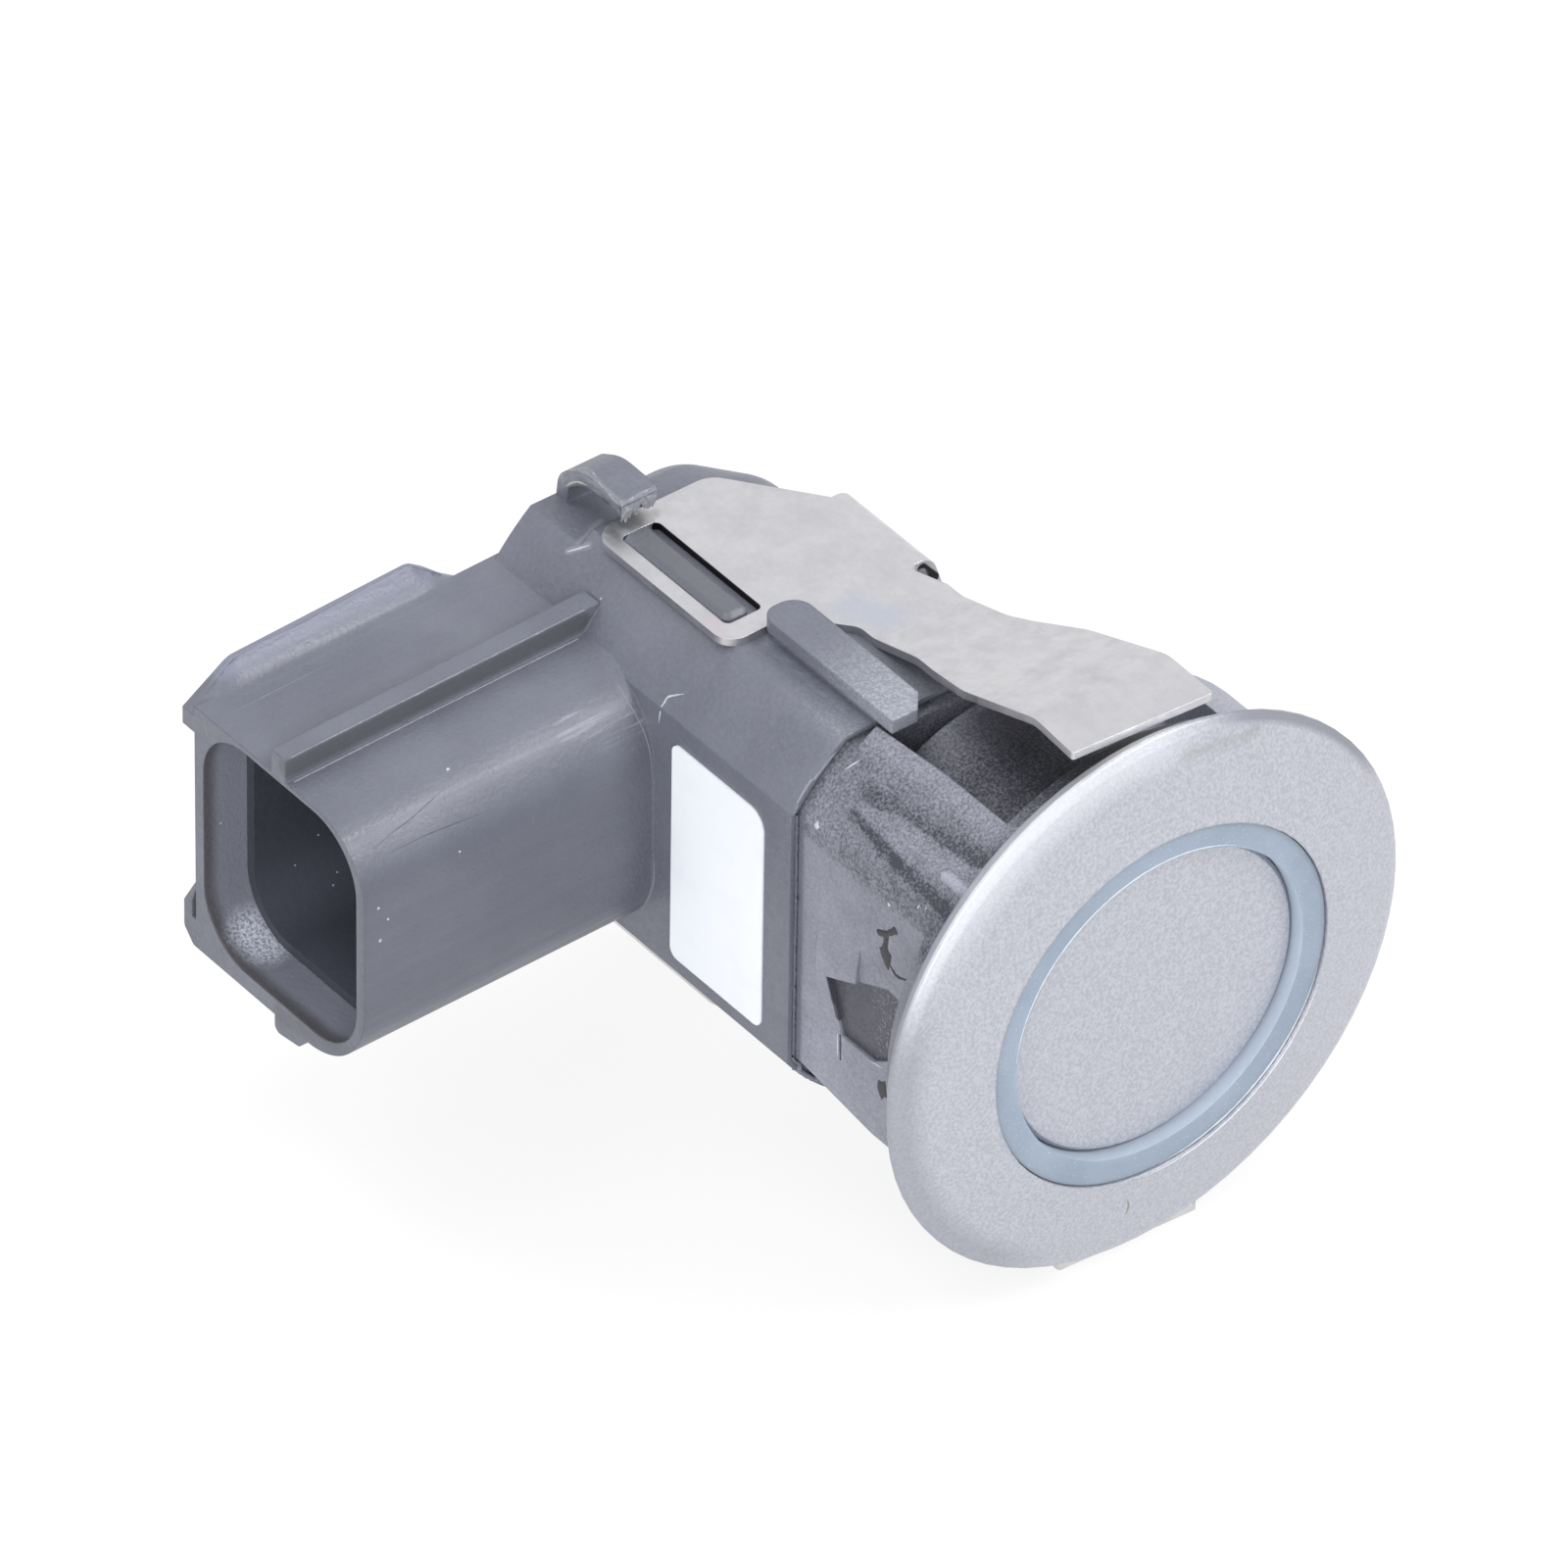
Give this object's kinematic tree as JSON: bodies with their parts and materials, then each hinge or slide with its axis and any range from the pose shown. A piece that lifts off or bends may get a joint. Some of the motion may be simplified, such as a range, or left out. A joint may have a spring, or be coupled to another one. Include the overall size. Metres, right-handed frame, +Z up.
{
  "type": "parking sensor",
  "caption": "Ultrasonic bumper sensor with a round painted bezel and disc face, a D-shaped moulded housing, a side connector socket and a winged spring steel clip.",
  "frame": {"origin": "on the sensing axis, in the plane of the bezel's rear seat", "axes": "+X in the sensing direction, -Y out of the connector's mouth, +Z up"},
  "size_m": [0.0352, 0.0395, 0.029],
  "materials": {
    "silver_paint": "satin",
    "silicone_rubber": "satin",
    "painted_aluminium": "satin",
    "grey_plastic": "matte",
    "black_plastic": "matte",
    "spring_steel": "brushed",
    "label_film": "matte",
    "piezo_ceramic": "matte",
    "cork_rubber": "matte",
    "silicone_foam": "matte",
    "potting_compound": "satin",
    "sealing_compound": "satin",
    "glass_fibre_board": "satin",
    "tinned_brass": "satin",
    "tinned_copper": "satin",
    "ferrite": "matte",
    "enamelled_copper": "gloss",
    "capacitor_ceramic": "matte",
    "resistor_ceramic": "matte",
    "moulded_epoxy": "matte",
    "lead_sleeve": "satin"
  },
  "bodies": {
    "root": {"bezel_barrel": "silver_paint", "decoupling_ring": "silicone_rubber", "transducer_cup": "painted_aluminium", "piezo_disc": "piezo_ceramic", "damping_pad": "cork_rubber", "transducer_filling": "silicone_foam", "transducer_base": "black_plastic", "housing": "grey_plastic", "joint_seal": "sealing_compound", "contact_carrier": "black_plastic", "potting": "potting_compound", "retaining_clip": "spring_steel", "label": "label_film", "circuit_board": "glass_fibre_board", "control_chip": "black_plastic", "control_chip_leads": "tinned_copper", "transformer_core": "ferrite", "transformer_coil": "enamelled_copper", "ceramic_capacitors": "capacitor_ceramic", "chip_resistors": "resistor_ceramic", "tantalum_capacitor": "moulded_epoxy", "resonator": "tinned_copper", "transducer_leads": "lead_sleeve", "connector_terminals": "tinned_brass"}
  },
  "joints": []
}
